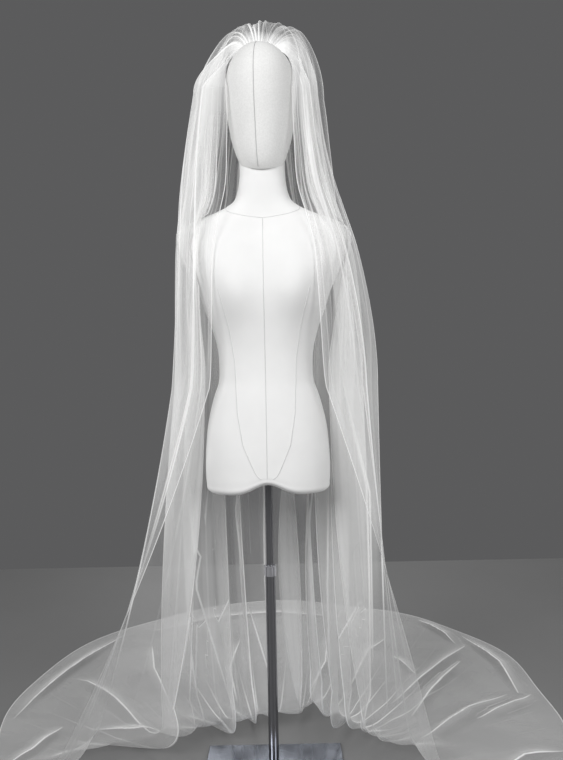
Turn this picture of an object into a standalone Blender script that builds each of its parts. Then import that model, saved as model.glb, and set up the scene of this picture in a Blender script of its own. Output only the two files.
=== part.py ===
"""Cathedral veil of soft tulle gathered on a hair comb, worn by a limbless dress form with a head.

The form stands on a two-tube pole and a square plate. The veil is one sheet of tulle, built here
in five stretches that meet at hairline seams: crown, left fall, back fall, right fall and train.
Metres, +Z up. The origin is on the floor under the pole, and the face looks along -Y.
"""

import math

import bpy
import numpy as np

# Tulle
WALL = 0.0010               # thickness of the tulle wall
MOST_MITRE = 1.2            # at a sharp turn, how much thicker than the wall its corner may be
LIE = WALL / 2              # height of the tulle's middle over the floor
SEAM_GAP = 0.0003           # between two stretches of the sheet, and between pieces that touch
CLEAR_OF_FORM = 0.007       # from the middle of the tulle to the form under it
SLOPE_STEP, MOST_SLOPE = 0.008, 4.0     # for the clearance over a shoulder
RING_Z = 1.70               # height at which the crown ends and the falls begin
CREST_OUT, CREST_LEAN = 0.008, 0.42     # how far out a fold heads from the comb, and more by its crest
CREST_LEAN_BACK = 0.6       # share of that at the back
CREST_LEAN_RIGHT = 0.9      # more again on the right
CREST_HOLD = 1.4            # how late the pleats open
CROWN_DROP, CROWN_DROP_CREST = 0.016, 0.22  # height from which it drops to the ring, and more by its crest
CROWN_DROP_BACK, CROWN_DROP_REACH = 0.050, 0.042    # and more at the back and on an outer fold
CROWN_SPREAD = 0.75         # less than 1 sets the crown's rows closer at the comb
WAIST_Z, KNEE_Z = 1.00, 0.50    # heights at which the fold lines are set out
BEND_Z = 0.16               # height at which a fall starts to turn onto the floor
BEND_SHARE = 0.26           # share of the train that the turn takes up
RIDGE_HEIGHT = 0.012        # most that a fold stands up where it meets the floor
RIDGE_SHARE = 0.75          # share of the train on which such ridges run
CROWN_ROWS, BEND_ROWS, TRAIN_ROWS = 7, 4, 6
FALL_HEIGHTS = (1.63, 1.56, 1.50, 1.46, 1.43, 1.41, 1.395, 1.375, 1.34, 1.30, 1.25, 1.19, 1.12, 1.04, 0.95,
                0.85, 0.75, 0.64, 0.52, 0.40, 0.28, BEND_Z)

# Comb
COMB_WIDTH = 0.100
COMB_THICK = 0.0026
COMB_LIFT = 0.0010          # from the head to the comb
COMB_SPINE = 0.006
GATHER_LIFT = 0.0012        # from the comb's top to the middle of the tulle sewn to it
COMB_END = 0.002            # bare comb beyond each end of the gathers
COMB_PLEAT = 0.0002         # half the depth of a pleat where it is sewn to the comb
COMB_TEETH = 14
TOOTH_LENGTH = 0.026
TOOTH_ROWS = 3

# Train, as an oval on the floor
OVAL_CENTRE = (0.012, 0.45)
OVAL_HALF_WIDTH = 0.835
OVAL_BACK, OVAL_FRONT = 0.85, 0.80
OVAL_TURN = 125.0           # degrees from the back of the oval to each of its front ends

# Dress form
FORM_POWER = 0.88           # 1 is an ellipse, and less is squarer
FORM_COLUMNS, HEAD_COLUMNS = 36, 28
BUST_X, BUST_Z, BUST_RISE = 0.078, 1.222, 0.024
BUST_WIDTH, BUST_HEIGHT = 0.056, 0.070
NECK_TOP_Z, NECK_TILT = 1.5436, 0.60
LEG_ARCH, LEG_ARCH_WIDTH = 0.026, 0.045
HEAD_TURN = math.radians(-8.0)

# Stand
PLATE_SIDE, PLATE_THICK, PLATE_CHAMFER = 0.36, 0.006, 0.0012
POLE_LOWER_R, POLE_UPPER_R, TUBE_WALL = 0.0125, 0.0095, 0.0015
POLE_JOIN_Z, POLE_OVERLAP, POLE_TOP_Z = 0.545, 0.12, 0.830
COLLAR_R, COLLAR_HEIGHT = 0.0150, 0.026
FLANGE_R, FLANGE_HEIGHT = 0.030, 0.012
ROUND_SIDES = 24

# Half width, front depth and back depth of the torso and neck at each height.
TORSO = np.array([
    # z,     half,   front, back
    (0.7450, 0.1420, 0.096, 0.098),
    (0.7500, 0.1475, 0.102, 0.106),
    (0.7650, 0.1505, 0.105, 0.113),
    (0.7930, 0.1520, 0.106, 0.118),
    (0.8540, 0.1500, 0.105, 0.121),
    (0.9030, 0.1450, 0.102, 0.114),
    (0.9420, 0.1370, 0.098, 0.103),
    (0.9810, 0.1260, 0.093, 0.091),
    (1.0080, 0.1165, 0.090, 0.083),
    (1.0450, 0.1140, 0.089, 0.079),
    (1.0950, 0.1180, 0.092, 0.081),
    (1.1430, 0.1310, 0.098, 0.087),
    (1.1850, 0.1470, 0.104, 0.092),
    (1.2260, 0.1600, 0.107, 0.096),
    (1.2730, 0.1820, 0.102, 0.098),
    (1.3110, 0.2010, 0.093, 0.097),
    (1.3410, 0.2090, 0.083, 0.094),
    (1.3630, 0.2100, 0.073, 0.089),
    (1.3830, 0.2020, 0.064, 0.084),
    (1.3930, 0.1860, 0.060, 0.081),
    (1.4030, 0.1600, 0.057, 0.078),
    (1.4150, 0.1270, 0.055, 0.074),
    (1.4300, 0.0930, 0.053, 0.068),
    (1.4440, 0.0735, 0.052, 0.062),
    (1.4640, 0.0630, 0.051, 0.057),
    (1.4870, 0.0580, 0.050, 0.054),
    (1.5180, 0.0552, 0.049, 0.052),
    (1.5436, 0.0552, 0.049, 0.052),
])
HEAD = np.array([
    # z,     half,   front, back
    (1.5436, 0.0552, 0.054, 0.052),
    (1.5650, 0.0635, 0.068, 0.062),
    (1.5900, 0.0715, 0.080, 0.075),
    (1.6200, 0.0775, 0.089, 0.088),
    (1.6600, 0.0832, 0.096, 0.099),
    (1.7000, 0.0855, 0.099, 0.105),
    (1.7350, 0.0838, 0.097, 0.104),
    (1.7650, 0.0765, 0.089, 0.095),
    (1.7900, 0.0635, 0.074, 0.079),
    (1.8050, 0.0490, 0.058, 0.061),
    (1.8150, 0.0340, 0.041, 0.042),
    (1.8200, 0.0180, 0.022, 0.022),
])
HEAD_TOP_Z = 1.8215

# The falls of the veil at each height: the angle from the back to a front edge, then the reach of
# the inmost and outmost folds to the left, right, back and front. Power is as FORM_POWER.
FALL = np.array([
    # z,   edge, in_l,  out_l, in_r,  out_r, in_b,  out_b, in_f,  out_f, power
    (1.70, 124, 0.0900, 0.172, 0.0900, 0.160, 0.113, 0.162, 0.106, 0.130, 1.00),
    (1.57, 127, 0.0950, 0.197, 0.0940, 0.180, 0.110, 0.172, 0.100, 0.130, 0.95),
    (1.46, 129, 0.1020, 0.213, 0.1000, 0.209, 0.104, 0.176, 0.098, 0.130, 0.88),
    (1.40, 135, 0.1250, 0.219, 0.1250, 0.224, 0.104, 0.172, 0.098, 0.130, 0.80),
    (1.34, 138, 0.1450, 0.222, 0.1450, 0.240, 0.108, 0.168, 0.104, 0.134, 0.76),
    (1.23, 137, 0.1480, 0.226, 0.1450, 0.260, 0.112, 0.166, 0.128, 0.155, 0.76),
    (1.13, 134, 0.1450, 0.230, 0.1400, 0.271, 0.104, 0.168, 0.118, 0.152, 0.78),
    (1.04, 130, 0.1420, 0.235, 0.1360, 0.275, 0.098, 0.172, 0.106, 0.145, 0.80),
    (0.95, 127, 0.1480, 0.241, 0.1430, 0.274, 0.112, 0.176, 0.106, 0.140, 0.82),
])

# Each fold line of the veil, from the left front edge to the right one: its angle round the form
# at the waist, in degrees from the back; how steeply it rises from the comb; how far out it
# reaches at the head and the waist, from 0 for the inmost to 1 for the outmost; then where it
# stands at the knee and on the floor.
FOLDS = np.array([
    # angle, crest, head, waist, knee_x, knee_y, foot_x, foot_y
    (-132, 0.011, 0.00, 0.15, -0.325, -0.050, -0.575, -0.030),
    (-125, 0.026, 0.80, 0.60, -0.331, -0.038, -0.560, 0.015),
    (-119, 0.040, 0.25, 0.50, -0.334, -0.025, -0.540, 0.060),
    (-113, 0.056, 0.95, 1.00, -0.336, -0.012, -0.500, 0.120),
    (-107, 0.064, 0.10, 0.15, -0.262, -0.004, -0.430, 0.150),
    (-101, 0.082, 0.60, 0.05, -0.188, 0.006, -0.300, 0.135),
    (-95, 0.090, 0.05, 0.50, -0.232, 0.018, -0.304, 0.147),
    (-89, 0.118, 1.00, 0.92, -0.275, 0.030, -0.306, 0.160),
    (-82, 0.112, 0.30, 0.35, -0.234, 0.042, -0.275, 0.172),
    (-76, 0.138, 0.85, 0.12, -0.192, 0.054, -0.240, 0.180),
    (-69, 0.146, 0.30, 0.80, -0.225, 0.078, -0.190, 0.190),
    (-61, 0.160, 0.50, 0.30, -0.166, 0.092, -0.150, 0.195),
    (-53, 0.168, 0.42, 0.00, -0.110, 0.106, -0.110, 0.185),
    (-45, 0.186, 0.55, 0.70, -0.150, 0.136, -0.115, 0.215),
    (-36, 0.172, 0.42, 0.25, -0.118, 0.152, -0.090, 0.225),
    (-27, 0.176, 0.52, 0.15, -0.074, 0.166, -0.050, 0.215),
    (-17, 0.186, 0.30, 0.60, -0.090, 0.192, -0.045, 0.240),
    (-8, 0.208, 0.80, 0.10, -0.004, 0.180, 0.000, 0.225),
    (1, 0.204, 0.35, 0.70, -0.024, 0.208, 0.008, 0.252),
    (9, 0.206, 0.60, 0.15, 0.081, 0.198, 0.075, 0.255),
    (19, 0.202, 0.42, 0.70, 0.014, 0.232, 0.085, 0.285),
    (27, 0.204, 0.58, 0.95, 0.098, 0.246, 0.120, 0.290),
    (37, 0.200, 0.42, 0.10, 0.107, 0.148, 0.150, 0.240),
    (45, 0.200, 0.52, 0.70, 0.168, 0.136, 0.190, 0.230),
    (54, 0.168, 0.38, 0.00, 0.122, 0.108, 0.178, 0.185),
    (61, 0.164, 0.85, 0.90, 0.206, 0.094, 0.222, 0.195),
    (69, 0.150, 0.35, 0.25, 0.157, 0.072, 0.205, 0.150),
    (76, 0.156, 0.90, 0.85, 0.256, 0.060, 0.262, 0.180),
    (82, 0.136, 0.05, 0.45, 0.216, 0.046, 0.258, 0.150),
    (88, 0.140, 1.00, 0.10, 0.176, 0.032, 0.256, 0.135),
    (95, 0.108, 0.40, 0.50, 0.230, 0.018, 0.275, 0.130),
    (101, 0.090, 0.75, 1.00, 0.280, 0.004, 0.305, 0.125),
    (107, 0.062, 0.10, 0.70, 0.284, -0.012, 0.335, 0.100),
    (113, 0.046, 0.60, 0.85, 0.287, -0.028, 0.365, 0.062),
    (120, 0.026, 0.20, 0.45, 0.290, -0.044, 0.395, 0.018),
    (130, 0.011, 0.00, 0.20, 0.293, -0.060, 0.420, -0.030),
])
LEFT_FOLDS, RIGHT_FOLDS = 13, 13    # folds in each side fall


def table_at(table, z):
    """Every column of a table at the heights z, on a smooth curve through its rows."""
    rows = table[np.argsort(table[:, 0])]
    x, y = rows[:, 0], rows[:, 1:]
    slope = np.gradient(y, x, axis=0)
    z = np.clip(np.asarray(z, float), x[0], x[-1])
    i = np.clip(np.searchsorted(x, z) - 1, 0, len(x) - 2)
    step = (x[i + 1] - x[i])[..., None]
    t = ((z - x[i]) / (x[i + 1] - x[i]))[..., None]
    return ((2 * t**3 - 3 * t**2 + 1) * y[i] + (t**3 - 2 * t**2 + t) * step * slope[i]
            + (3 * t**2 - 2 * t**3) * y[i + 1] + (t**3 - t**2) * step * slope[i + 1])


def oval(angle, left, right, back, front, power):
    """A point of an oval at an angle from the back, positive towards the right."""
    across, deep = np.sin(angle), np.cos(angle)
    x = np.where(across < 0, left, right) * np.sign(across) * np.abs(across) ** power
    y = np.where(deep < 0, front, back) * np.sign(deep) * np.abs(deep) ** power
    return x, y


def bust(x, z):
    """How far the bust stands out in front of the torso's plain sections."""
    along = np.exp(-((z - BUST_Z) / BUST_HEIGHT) ** 2)
    return BUST_RISE * along * (np.exp(-((x - BUST_X) / BUST_WIDTH) ** 2)
                                + np.exp(-((x + BUST_X) / BUST_WIDTH) ** 2))


def pushed_clear(points):
    """The points moved out, where they need it, until they clear the head and torso."""
    x, y, z = points[..., 0], points[..., 1], points[..., 2]
    scale = np.ones_like(x)
    for table, top in ((TORSO, NECK_TOP_Z), (HEAD, HEAD[-1, 0])):
        half, front, back = np.moveaxis(table_at(table, z), -1, 0)
        steep = (table_at(table, z + SLOPE_STEP) - table_at(table, z - SLOPE_STEP)) / (2 * SLOPE_STEP)
        clear = CLEAR_OF_FORM * np.sqrt(1 + np.minimum(np.abs(steep[..., 0]), MOST_SLOPE) ** 2)
        deep = np.where(y < 0, front + bust(x, z), back)
        power = 2 / FORM_POWER
        inside = (np.abs(x) / (half + clear)) ** power + (np.abs(y) / (deep + clear)) ** power
        here = (z > table[0, 0] - 0.02) & (z <= top) & (inside < 1)
        scale = np.where(here, np.maximum(scale, np.maximum(inside, 1e-3) ** (-1 / power)), scale)
    moved = points.copy()
    moved[..., 0] = x * scale
    moved[..., 1] = y * scale
    return moved


def bezier(a, b, c, d, t):
    return (1 - t) ** 3 * a + 3 * (1 - t) ** 2 * t * b + 3 * (1 - t) * t**2 * c + t**3 * d


def smooth(t):
    t = np.clip(t, 0, 1)
    return t * t * (3 - 2 * t)


def at_fold(q, values):
    """Values that each fold line has, read between the lines at the fold coordinates q."""
    return np.interp(q, np.arange(len(FOLDS)), values)


def fold_values(q, z):
    """The angle round the form, in radians, and the reach of the sheet at the fold coordinates q,
    which count fold lines from the left front edge, at height z, from the waist up."""
    edge = table_at(FALL, z)[0]
    top = np.linspace(-edge, edge, len(FOLDS))
    high = smooth((z - WAIST_Z) / (RING_Z - WAIST_Z))
    place = FOLDS[:, 0] * edge / abs(FOLDS[0, 0])
    place = place + (top - place) * high
    reach = FOLDS[:, 3] + (FOLDS[:, 2] - FOLDS[:, 3]) * high
    return np.radians(at_fold(q, place)), at_fold(q, reach)


def fall_row(q, z, depth=1.0):
    """The row of the falls at height z, with a share of the folds' depth. Below the waist each
    fold line runs on a slight curve through its waist, knee and foot."""
    level = max(z, WAIST_Z)
    angle, reach = fold_values(q, level)
    reach = 0.5 + (reach - 0.5) * depth
    _, in_l, out_l, in_r, out_r, in_b, out_b, in_f, out_f, power = table_at(FALL, level)
    x, y = oval(angle, in_l + (out_l - in_l) * reach, in_r + (out_r - in_r) * reach,
                in_b + (out_b - in_b) * reach, in_f + (out_f - in_f) * reach, power)
    if z < WAIST_Z:
        waist = (z - KNEE_Z) * z / ((WAIST_Z - KNEE_Z) * WAIST_Z)
        knee = (WAIST_Z - z) * z / ((WAIST_Z - KNEE_Z) * KNEE_Z)
        foot = (WAIST_Z - z) * (KNEE_Z - z) / (WAIST_Z * KNEE_Z)
        x = waist * x + knee * at_fold(q, FOLDS[:, 4]) + foot * at_fold(q, FOLDS[:, 6])
        y = waist * y + knee * at_fold(q, FOLDS[:, 5]) + foot * at_fold(q, FOLDS[:, 7])
    return pushed_clear(np.stack([x, y, np.full_like(x, z)], -1))


def comb_edge(q):
    """The gathered edge of the tulle along the comb."""
    last = len(FOLDS) - 1
    x = (q / last - 0.5) * (COMB_WIDTH - 2 * COMB_END)
    side = smooth(np.abs((q % 2) - 1)) * 2 - 1
    y = COMB_PLEAT * side
    z = np.array([head_surface(*place) for place in zip(x, y)])
    return np.stack([x, y, z + COMB_LIFT + COMB_THICK + SEAM_GAP + GATHER_LIFT], -1)


def crown_row(q, share):
    """A row of the crown, at a share of the way from the comb to the ring at RING_Z. Its pleats
    open later at the sides, where they lie closest."""
    angle, reach = fold_values(q, RING_Z)
    sideways = 1 - np.clip(np.cos(angle) + 0.5, 0, 1)[:, None]
    opened = smooth(share) ** (CREST_HOLD + sideways)
    start, ring, closed = comb_edge(q), fall_row(q, RING_Z), fall_row(q, RING_Z, 0.0)
    out = np.stack([np.sin(angle), np.cos(angle), np.zeros_like(angle)], -1)
    up = np.array([0, 0, 1.0])
    backward = smooth((np.cos(angle) + 0.5) / 1.5)[:, None]
    reach = 0.5 + (reach[:, None] - 0.5) * opened
    crest = at_fold(q, FOLDS[:, 1])[:, None]
    drop = CROWN_DROP + CROWN_DROP_CREST * crest + CROWN_DROP_BACK * backward + CROWN_DROP_REACH * reach
    lean = (CREST_OUT + CREST_LEAN * crest) * (1 - (1 - CREST_LEAN_BACK) * backward)
    lean = lean * (1 + CREST_LEAN_RIGHT * np.clip(np.sin(angle), 0, 1)[:, None])
    first = start + out * lean + up * crest
    second = closed + (ring - closed) * opened + up * drop
    return pushed_clear(bezier(start, first, second, ring, share))


def hem(q):
    """The hem of the train, on its oval."""
    turn = (2 * q / (len(FOLDS) - 1) - 1) * math.radians(OVAL_TURN)
    x, y = oval(turn, OVAL_HALF_WIDTH, OVAL_HALF_WIDTH, OVAL_BACK, OVAL_FRONT, 1.0)
    return np.stack([x + OVAL_CENTRE[0], y + OVAL_CENTRE[1], np.full_like(x, LIE)], -1)


def train_row(q, share):
    """A row of the train lying on the floor, at a share of the way from the falls to the hem."""
    foot = fall_row(q, 0.0)
    row = foot + (hem(q) - foot) * share
    row[:, 2] = LIE + RIDGE_HEIGHT * at_fold(q, FOLDS[:, 3]) * (1 - smooth(share / RIDGE_SHARE)) ** 2
    return row


def bend_row(q, share):
    """A row of the turn from the falls onto the floor."""
    below = fall_row(q, 0.02)
    below[:, 2] = LIE + RIDGE_HEIGHT * at_fold(q, FOLDS[:, 3])
    return bezier(fall_row(q, BEND_Z), below, train_row(q, 0.05), train_row(q, BEND_SHARE), share)


def sheet_grid(q):
    """The middle of the whole sheet, as rows from the comb to the hem, and the row that each
    stretch ends on."""
    rows = [comb_edge(q)]
    rows += [crown_row(q, (i / CROWN_ROWS) ** CROWN_SPREAD) for i in range(1, CROWN_ROWS + 1)]
    rows += [fall_row(q, z) for z in FALL_HEIGHTS]
    rows += [bend_row(q, i / BEND_ROWS) for i in range(1, BEND_ROWS + 1)]
    shares = np.linspace(BEND_SHARE, 1, TRAIN_ROWS + 1)[1:]
    rows += [train_row(q, share) for share in shares]
    return np.array(rows), (CROWN_ROWS, CROWN_ROWS + len(FALL_HEIGHTS))


def unit(vectors):
    return vectors / np.maximum(np.linalg.norm(vectors, axis=-1, keepdims=True), 1e-12)


def bisectors(grid, axis):
    """At each point, the mean direction of the grid lines before and after it along an axis, and
    how far a wall's corner stands out for the turn between them."""
    steps = unit(np.diff(grid, axis=axis))
    first, last = np.take(steps, [0], axis), np.take(steps, [-1], axis)
    mean = (np.concatenate([first, steps], axis) + np.concatenate([steps, last], axis)) / 2
    length = np.linalg.norm(mean, axis=-1, keepdims=True)
    return unit(mean), 1 / np.maximum(length, 1 / MOST_MITRE)


def grid_normals(grid):
    across, corner = bisectors(grid, 1)
    along, _ = bisectors(grid, 0)
    return unit(np.cross(across, along)) * corner


def new_object(name, points, faces, material, smooth_angle=None):
    mesh = bpy.data.meshes.new(name)
    mesh.from_pydata([tuple(p) for p in points], [], faces)
    mesh.validate()
    mesh.update()
    obj = bpy.data.objects.new(name, mesh)
    bpy.context.scene.collection.objects.link(obj)
    obj.data.materials.append(material)
    if smooth_angle is not None:
        mesh.shade_smooth()
        mesh.set_sharp_from_angle(angle=smooth_angle)
    return obj


def halves(points, a, b, c, d):
    """The two triangles of the four-sided face a, b, c, d, cut along its shorter diagonal."""
    if np.linalg.norm(points[a] - points[c]) <= np.linalg.norm(points[b] - points[d]):
        return (a, b, c), (a, c, d)
    return (b, c, d), (b, d, a)


def edge_halves(p, n, count):
    """The two triangles that close a wall along its edge from p to n. They are cut the same way
    on both sides of a seam."""
    if p < n:
        return (n, p, n + count), (p, p + count, n + count)
    return (n, p, p + count), (n, p + count, n + count)


def shell(name, outer, inner, cells, material):
    """A closed wall between two grids of points, present where cells is true."""
    rows, columns = outer.shape[:2]
    points = np.concatenate([outer.reshape(-1, 3), inner.reshape(-1, 3)])
    count = rows * columns

    def at(r, c):
        return r * columns + c

    faces = []
    for r in range(rows - 1):
        for c in range(columns - 1):
            if not cells[r, c]:
                continue
            a, b, d, e = at(r, c), at(r, c + 1), at(r + 1, c + 1), at(r + 1, c)
            for p, m, n in halves(points, a, b, d, e):
                faces.append((p, m, n))
                faces.append((n + count, m + count, p + count))
            sides = (((r - 1, c), (a, b)), ((r, c + 1), (b, d)), ((r + 1, c), (d, e)), ((r, c - 1), (e, a)))
            for (nr, nc), (p, n) in sides:
                if 0 <= nr < rows - 1 and 0 <= nc < columns - 1 and cells[nr, nc]:
                    continue
                faces += edge_halves(p, n, count)
    used = sorted({i for face in faces for i in face})
    renumber = {old: new for new, old in enumerate(used)}
    faces = [tuple(renumber[i] for i in face) for face in faces]
    return new_object(name, points[used], faces, material, math.radians(50))


def tulle(material):
    """The five stretches of the veil."""
    last = len(FOLDS) - 1
    q = np.concatenate([[0.0], np.arange(0.25, last, 0.5), [float(last)]])
    grid, (crown_end, fall_end) = sheet_grid(q)
    normal = grid_normals(grid)
    left_end = 2 * LEFT_FOLDS
    right_start = len(q) - 1 - 2 * RIGHT_FOLDS
    bottom, right = len(grid) - 1, len(q) - 1
    stretches = {
        "tulle_crown": (0, crown_end, 0, right),
        "tulle_fall_left": (crown_end, fall_end, 0, left_end),
        "tulle_fall_back": (crown_end, fall_end, left_end, right_start),
        "tulle_fall_right": (crown_end, fall_end, right_start, right),
        "tulle_train": (fall_end, bottom, 0, right),
    }
    along, across = bisectors(grid, 0)[0], bisectors(grid, 1)[0]
    slant = np.sum(along * across, axis=-1, keepdims=True)
    along, across = (unit(along - slant * across) * SEAM_GAP / 2, unit(across - slant * along) * SEAM_GAP / 2)
    for name, (top, end, first, stop) in stretches.items():
        here = (slice(top, end + 1), slice(first, stop + 1))
        part = grid[here].copy()
        if top > 0:
            part[0] += along[here][0]
        if end < bottom:
            part[-1] -= along[here][-1]
        if first > 0:
            part[:, 0] += across[here][:, 0]
        if stop < right:
            part[:, -1] -= across[here][:, -1]
        half = normal[here] * WALL / 2
        outer, inner = part + half, part - half
        outer[..., 2] = np.maximum(outer[..., 2], 0.0)
        inner[..., 2] = np.maximum(inner[..., 2], 0.0)
        shell(name, outer, inner, np.ones((end - top, stop - first), bool), material)


def comb(material):
    """A flat comb whose spine and teeth follow the top of the head."""
    teeth = 2 * COMB_TEETH - 1
    x = np.linspace(-COMB_WIDTH / 2, COMB_WIDTH / 2, teeth + 1)
    tooth = COMB_SPINE / 2 + np.linspace(0, TOOTH_LENGTH, TOOTH_ROWS + 1)
    y = np.concatenate([[-COMB_SPINE / 2], tooth])
    heights = np.array([[head_surface(a, b) for a in x] for b in y])
    across, deep = np.meshgrid(x, y)
    middle = np.stack([across, deep, heights], -1)
    normal = grid_normals(middle)
    cells = np.ones((TOOTH_ROWS + 1, teeth), bool)
    cells[1:, 1::2] = False
    low = middle + normal * COMB_LIFT
    shell("comb", low + normal * COMB_THICK, low, cells, material)


def head_surface(x, y):
    """Height of the turned head's top over the point x, y."""
    turned_x = x * math.cos(HEAD_TURN) + y * math.sin(HEAD_TURN)
    turned_y = y * math.cos(HEAD_TURN) - x * math.sin(HEAD_TURN)
    rows = np.vstack([HEAD, [HEAD_TOP_Z, 1e-5, 1e-5, 1e-5]])
    z = np.linspace(HEAD[np.argmax(HEAD[:, 1]), 0], HEAD_TOP_Z, 600)
    half = np.interp(z, rows[:, 0], rows[:, 1])
    deep = np.interp(z, rows[:, 0], rows[:, 2 if turned_y < 0 else 3])
    return float(np.interp(1.0, np.hypot(turned_x / half, turned_y / deep), z))


def lofted(name, rings, material, cap_low, cap_high):
    """A closed body through rings of points, from the lowest to the highest, closed by the two
    cap points."""
    count = len(rings[0])
    points = [p for ring in rings for p in ring] + [cap_low, cap_high]
    low, high = len(points) - 2, len(points) - 1
    faces = []
    for r in range(len(rings) - 1):
        for c in range(count):
            a, b = r * count + c, r * count + (c + 1) % count
            faces.append((a, b, b + count, a + count))
    top = (len(rings) - 1) * count
    faces += [(low, (c + 1) % count, c) for c in range(count)]
    faces += [(high, top + c, top + (c + 1) % count) for c in range(count)]
    return new_object(name, points, faces, material, math.radians(60))


def torso(material):
    angles = np.linspace(0, -2 * math.pi, FORM_COLUMNS, endpoint=False)
    heights = np.unique(np.concatenate([TORSO[:, 0], (TORSO[3:15, 0] + TORSO[4:16, 0]) / 2]))

    def leg_arch(x):
        return LEG_ARCH * np.exp(-(x / LEG_ARCH_WIDTH) ** 2)

    rings = []
    for share in (0.35, 0.75):
        half, front, back = table_at(TORSO, TORSO[0, 0])
        x, y = oval(angles, half * share, half * share, back * share, front * share, FORM_POWER)
        rings.append(np.stack([x, y, TORSO[0, 0] + leg_arch(x)], -1))
    for z in heights:
        half, front, back = table_at(TORSO, z)
        x, y = oval(angles, half, half, back, front, FORM_POWER)
        y = np.where(y < 0, y - bust(x, z) * np.abs(np.minimum(y, 0)) / front, y)
        arch = leg_arch(x) * (1 - smooth((z - TORSO[0, 0]) / 0.06))
        tilt = NECK_TILT * y * smooth((z - 1.47) / (NECK_TOP_Z - 1.47))
        rings.append(np.stack([x, y, z + arch + tilt], -1))
    low = (0, 0, TORSO[0, 0] + LEG_ARCH)
    body = lofted("torso", rings, material, low, (0, 0, NECK_TOP_Z))
    socket = cylinder("socket_cutter", POLE_UPPER_R + SEAM_GAP, 0.60, POLE_TOP_Z + SEAM_GAP, None)
    socket.hide_render = True
    socket.display_type = "WIRE"
    cut = body.modifiers.new("socket", "BOOLEAN")
    cut.object = socket
    cut.operation = "DIFFERENCE"
    return body


def head(material):
    angles = np.linspace(0, -2 * math.pi, HEAD_COLUMNS, endpoint=False)
    rings = []
    for z in HEAD[:, 0]:
        half, front, back = table_at(HEAD, z)
        across, deep = oval(angles, half, half, back, front, 1.0)
        x = across * math.cos(HEAD_TURN) - deep * math.sin(HEAD_TURN)
        y = deep * math.cos(HEAD_TURN) + across * math.sin(HEAD_TURN)
        tilt = NECK_TILT * (1 - smooth((z - NECK_TOP_Z) / 0.09))
        rings.append(np.stack([x, y, z + tilt * y + SEAM_GAP * 1.2], -1))
    low, high = (0, 0, NECK_TOP_Z + SEAM_GAP * 1.2), (0, 0, HEAD_TOP_Z)
    return lofted("head", rings, material, low, high)


def turned(name, profile, material):
    """A round body from an outline of radius and height points, run round the pole's axis."""
    rings = []
    for k in range(ROUND_SIDES):
        a = -2 * math.pi * k / ROUND_SIDES
        rings.append([(r * math.cos(a), r * math.sin(a), z) for r, z in profile])
    count = len(profile)
    points = [p for ring in rings for p in ring]
    faces = []
    for k in range(ROUND_SIDES):
        for i in range(count):
            a, b = k * count + i, k * count + (i + 1) % count
            c = ((k + 1) % ROUND_SIDES) * count
            faces.append((a, b, c + (i + 1) % count, c + i))
    return new_object(name, points, faces, material, math.radians(40))


def cylinder(name, radius, low, high, material):
    angles = 2 * math.pi * np.arange(ROUND_SIDES) / ROUND_SIDES
    rings = [[(radius * math.cos(a), radius * math.sin(a), z) for a in angles] for z in (low, high)]
    return lofted(name, rings, material, (0, 0, low), (0, 0, high))


def stand(steel, mirror):
    half = PLATE_SIDE / 2
    square = ((-half, -half), (half, -half), (half, half), (-half, half))
    corners = [(x, y, z) for z in (0, PLATE_THICK) for x, y in square]
    faces = [(3, 2, 1, 0), (4, 5, 6, 7), (0, 1, 5, 4), (1, 2, 6, 5), (2, 3, 7, 6), (3, 0, 4, 7)]
    plate = new_object("base_plate", corners, faces, mirror)
    edge = plate.modifiers.new("edge", "BEVEL")
    edge.width = PLATE_CHAMFER
    edge.segments = 1
    foot = PLATE_THICK + SEAM_GAP
    lower_in = POLE_LOWER_R - TUBE_WALL
    turned("pole_lower", [(lower_in, foot), (POLE_LOWER_R, foot), (POLE_LOWER_R, POLE_JOIN_Z),
                          (lower_in, POLE_JOIN_Z)], steel)
    upper_in = POLE_UPPER_R - TUBE_WALL
    low = POLE_JOIN_Z - POLE_OVERLAP
    turned("pole_upper", [(upper_in, low), (POLE_UPPER_R, low), (POLE_UPPER_R, POLE_TOP_Z),
                          (upper_in, POLE_TOP_Z)], steel)
    bore = POLE_LOWER_R + SEAM_GAP
    rim = POLE_UPPER_R + SEAM_GAP
    step = POLE_JOIN_Z + SEAM_GAP
    collar_low = step - COLLAR_HEIGHT * 0.55
    collar_top = step + COLLAR_HEIGHT * 0.45
    turned("collar", [(bore, collar_low), (COLLAR_R, collar_low), (COLLAR_R, collar_top - 0.002),
                      (COLLAR_R - 0.002, collar_top), (rim, collar_top), (rim, step), (bore, step)], steel)
    turned("flange", [(bore, foot), (FLANGE_R, foot), (FLANGE_R, foot + FLANGE_HEIGHT * 0.4),
                      (FLANGE_R * 0.62, foot + FLANGE_HEIGHT), (bore, foot + FLANGE_HEIGHT)], steel)


def material_of(name, colour, roughness, metallic):
    material = bpy.data.materials.new(name)
    material.use_nodes = True
    shader = material.node_tree.nodes["Principled BSDF"]
    shader.inputs["Base Color"].default_value = (*colour, 1)
    shader.inputs["Roughness"].default_value = roughness
    shader.inputs["Metallic"].default_value = metallic
    return material


def main():
    for obj in list(bpy.data.objects):
        bpy.data.objects.remove(obj)
    white_net = material_of("tulle", (0.93, 0.93, 0.92), 0.6, 0.0)
    jersey = material_of("jersey", (0.88, 0.88, 0.87), 0.8, 0.0)
    linen = material_of("linen", (0.80, 0.80, 0.79), 0.85, 0.0)
    clear = material_of("comb", (0.85, 0.85, 0.85), 0.25, 0.0)
    steel = material_of("chrome", (0.62, 0.63, 0.65), 0.12, 1.0)
    mirror = material_of("plate", (0.45, 0.47, 0.51), 0.10, 1.0)
    tulle(white_net)
    comb(clear)
    head(linen)
    torso(jersey)
    stand(steel, mirror)


main()
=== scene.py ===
import math

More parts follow.
